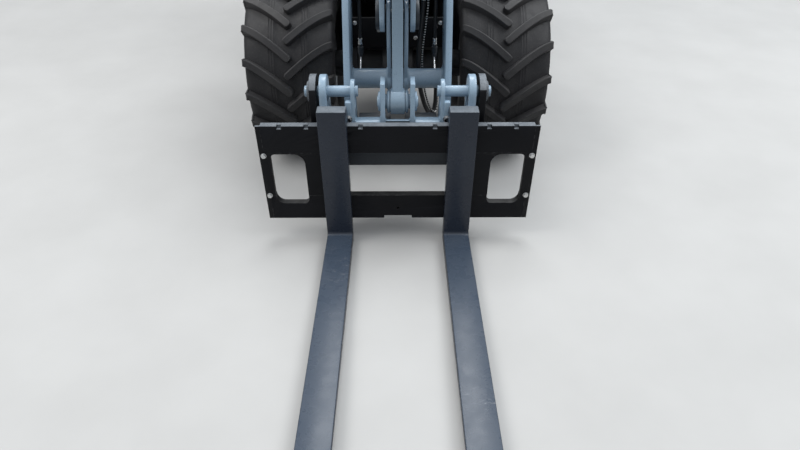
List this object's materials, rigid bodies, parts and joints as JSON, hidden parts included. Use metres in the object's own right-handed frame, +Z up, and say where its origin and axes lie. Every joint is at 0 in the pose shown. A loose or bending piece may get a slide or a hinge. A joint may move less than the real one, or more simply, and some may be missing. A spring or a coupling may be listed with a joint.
{
  "type": "compact articulated wheel loader with pallet forks",
  "caption": "Compact articulated wheel loader with a lifting boom, tilting pallet forks, an open roof frame and a rear engine.",
  "frame": {"origin": "on the ground, under the centre of the machine's bounding box", "axes": "+Z up, +Y to the rear of the machine, +X to the machine's left"},
  "size_m": [1.292, 4.19, 2.25],
  "materials": {
    "tyre": "matt",
    "machine_paint": "semi-gloss",
    "dark_paint": "satin",
    "fork_steel": "satin, scuffed",
    "bright_steel": "machined",
    "chrome": "polished",
    "cast": "rough",
    "plastic": "grained",
    "vinyl": "grained",
    "lens": "clear"
  },
  "bodies": {
    "rear_frame": {"rear_chassis": "dark_paint", "rear_axle": "cast", "joint_pins": "bright_steel", "engine": "cast", "platform": "dark_paint", "steps": "dark_paint", "seat_box": "machine_paint", "seat_shell": "plastic", "seat_cushion": "vinyl", "seat_back": "vinyl", "console": "plastic", "roof_frame": "dark_paint", "roof": "machine_paint", "fender_right": "machine_paint", "fender_left": "machine_paint", "bulkhead": "dark_paint", "engine_panels": "dark_paint", "tank_right": "machine_paint", "tank_left": "machine_paint", "counterweight": "dark_paint", "work_lights": "plastic", "tail_lights": "lens"},
    "front_frame": {"front_chassis": "machine_paint", "front_axle": "cast", "boom_shaft": "bright_steel", "tilt_base_pin": "bright_steel", "lift_base_pins": "bright_steel"},
    "boom": {"boom": "machine_paint", "lift_eye_pins": "bright_steel"},
    "coupler_pins": {"coupler_pins": "bright_steel"},
    "coupler": {"coupler": "machine_paint", "hook_pins": "machine_paint", "carriage": "dark_paint", "side_plate_right": "dark_paint", "side_plate_left": "dark_paint"},
    "lever_pins": {"lever_pins": "bright_steel"},
    "tilt_lever": {"tilt_lever": "machine_paint", "lever_bolts": "bright_steel"},
    "link_pin": {"link_pin": "bright_steel"},
    "tilt_link": {"tilt_link": "machine_paint"},
    "tilt_barrel": {"tilt_barrel": "dark_paint"},
    "tilt_rod": {"tilt_rod": "chrome"},
    "hood": {"hood": "machine_paint"},
    "steering_wheel": {"steering_wheel": "plastic"},
    "fork_right": {"fork_tine_right": "fork_steel"},
    "lift_barrel_right": {"lift_barrel_right": "dark_paint"},
    "lift_rod_right": {"lift_rod_right": "chrome"},
    "front_wheel_right": {"front_tyre_right": "tyre", "front_rim_right": "machine_paint"},
    "rear_wheel_right": {"rear_tyre_right": "tyre", "rear_rim_right": "machine_paint"},
    "fork_left": {"fork_tine_left": "fork_steel"},
    "lift_barrel_left": {"lift_barrel_left": "dark_paint"},
    "lift_rod_left": {"lift_rod_left": "chrome"},
    "front_wheel_left": {"front_tyre_left": "tyre", "front_rim_left": "machine_paint"},
    "rear_wheel_left": {"rear_tyre_left": "tyre", "rear_rim_left": "machine_paint"}
  },
  "joints": [
    {"name": "steering", "type": "hinge", "parent": "rear_frame", "child": "front_frame", "pos_m": [0, 0.72, 0.64], "axis": [0, 0, 1], "range_deg": [-40, 40]},
    {"name": "boom_lift", "type": "hinge", "parent": "front_frame", "child": "boom", "pos_m": [0, 0.485, 1.32], "axis": [-1, 0, 0], "range_deg": [0, 78]},
    {"name": "fork_level", "type": "hinge", "parent": "boom", "child": "coupler_pins", "pos_m": [0, -0.7, 0.405], "axis": [-1, 0, 0], "range_deg": [-78, 0]},
    {"name": "fork_tilt", "type": "hinge", "parent": "coupler_pins", "child": "coupler", "pos_m": [0, -0.7, 0.405], "axis": [-1, 0, 0], "range_deg": [-40, 12]},
    {"name": "lever_level", "type": "hinge", "parent": "boom", "child": "lever_pins", "pos_m": [0, -0.593, 0.8], "axis": [-1, 0, 0], "range_deg": [-78, 0]},
    {"name": "lever_tilt", "type": "hinge", "parent": "lever_pins", "child": "tilt_lever", "pos_m": [0, -0.593, 0.8], "axis": [-1, 0, 0], "range_deg": [-40, 12]},
    {"name": "link_level", "type": "hinge", "parent": "coupler", "child": "link_pin", "pos_m": [0, -0.744, 0.537], "axis": [-1, 0, 0], "range_deg": [0, 78]},
    {"name": "link_tilt", "type": "hinge", "parent": "link_pin", "child": "tilt_link", "pos_m": [0, -0.744, 0.537], "axis": [-1, 0, 0], "range_deg": [-12, 40]},
    {"name": "tilt_barrel_swing", "type": "hinge", "parent": "front_frame", "child": "tilt_barrel", "pos_m": [0, 0.485, 1.55], "axis": [-1, 0, 0], "range_deg": [0, 78]},
    {"name": "tilt_rod_slide", "type": "slide", "parent": "tilt_barrel", "child": "tilt_rod", "axis": [0, -0.9007, -0.4345], "range_m": [-0.0424, 0.1403]},
    {"name": "lift_barrel_swing_right", "type": "hinge", "parent": "front_frame", "child": "lift_barrel_right", "pos_m": [-0.115, 0.345, 0.59], "axis": [-1, 0, 0], "range_deg": [0, 10.09]},
    {"name": "lift_rod_slide_right", "type": "slide", "parent": "lift_barrel_right", "child": "lift_rod_right", "axis": [0, -0.2597, 0.9657], "range_m": [0, 0.4001]},
    {"name": "fork_slide_right", "type": "slide", "parent": "coupler", "child": "fork_right", "axis": [1, 0, 0], "range_m": [-0.19, 0.15]},
    {"name": "lift_barrel_swing_left", "type": "hinge", "parent": "front_frame", "child": "lift_barrel_left", "pos_m": [0.115, 0.345, 0.59], "axis": [-1, 0, 0], "range_deg": [0, 10.09]},
    {"name": "lift_rod_slide_left", "type": "slide", "parent": "lift_barrel_left", "child": "lift_rod_left", "axis": [0, -0.2597, 0.9657], "range_m": [0, 0.4001]},
    {"name": "fork_slide_left", "type": "slide", "parent": "coupler", "child": "fork_left", "axis": [1, 0, 0], "range_m": [-0.15, 0.19]},
    {"name": "front_wheel_right_spin", "type": "hinge", "parent": "front_frame", "child": "front_wheel_right", "pos_m": [-0.456, -0.03, 0.394], "axis": [1, 0, 0], "continuous": true},
    {"name": "front_wheel_left_spin", "type": "hinge", "parent": "front_frame", "child": "front_wheel_left", "pos_m": [0.456, -0.03, 0.394], "axis": [1, 0, 0], "continuous": true},
    {"name": "rear_wheel_right_spin", "type": "hinge", "parent": "rear_frame", "child": "rear_wheel_right", "pos_m": [-0.456, 1.47, 0.394], "axis": [1, 0, 0], "continuous": true},
    {"name": "rear_wheel_left_spin", "type": "hinge", "parent": "rear_frame", "child": "rear_wheel_left", "pos_m": [0.456, 1.47, 0.394], "axis": [1, 0, 0], "continuous": true},
    {"name": "steering_wheel_turn", "type": "hinge", "parent": "rear_frame", "child": "steering_wheel", "pos_m": [0, 1.04628, 1.29809], "axis": [0, 0.5299, 0.848], "continuous": true},
    {"name": "hood_hinge", "type": "hinge", "parent": "rear_frame", "child": "hood", "pos_m": [0, 1.559, 1.178], "axis": [1, 0, 0], "range_deg": [0, 55]}
  ],
  "couplings": [
    {"joint": "fork_level", "follows": "boom_lift", "ratio": -1},
    {"joint": "lever_level", "follows": "boom_lift", "ratio": -1},
    {"joint": "link_level", "follows": "boom_lift", "ratio": 1},
    {"joint": "tilt_barrel_swing", "follows": "boom_lift", "ratio": 1},
    {"joint": "lever_tilt", "follows": "fork_tilt", "ratio": 1},
    {"joint": "link_tilt", "follows": "fork_tilt", "ratio": -1},
    {"joint": "tilt_rod_slide", "follows": "fork_tilt", "m_per_rad": -0.2002},
    {"joint": "lift_barrel_swing_right", "follows": "boom_lift", "ratio": 0.1281},
    {"joint": "lift_rod_slide_right", "follows": "boom_lift", "m_per_rad": 0.2935},
    {"joint": "lift_barrel_swing_left", "follows": "boom_lift", "ratio": 0.1281},
    {"joint": "lift_rod_slide_left", "follows": "boom_lift", "m_per_rad": 0.2935}
  ]
}
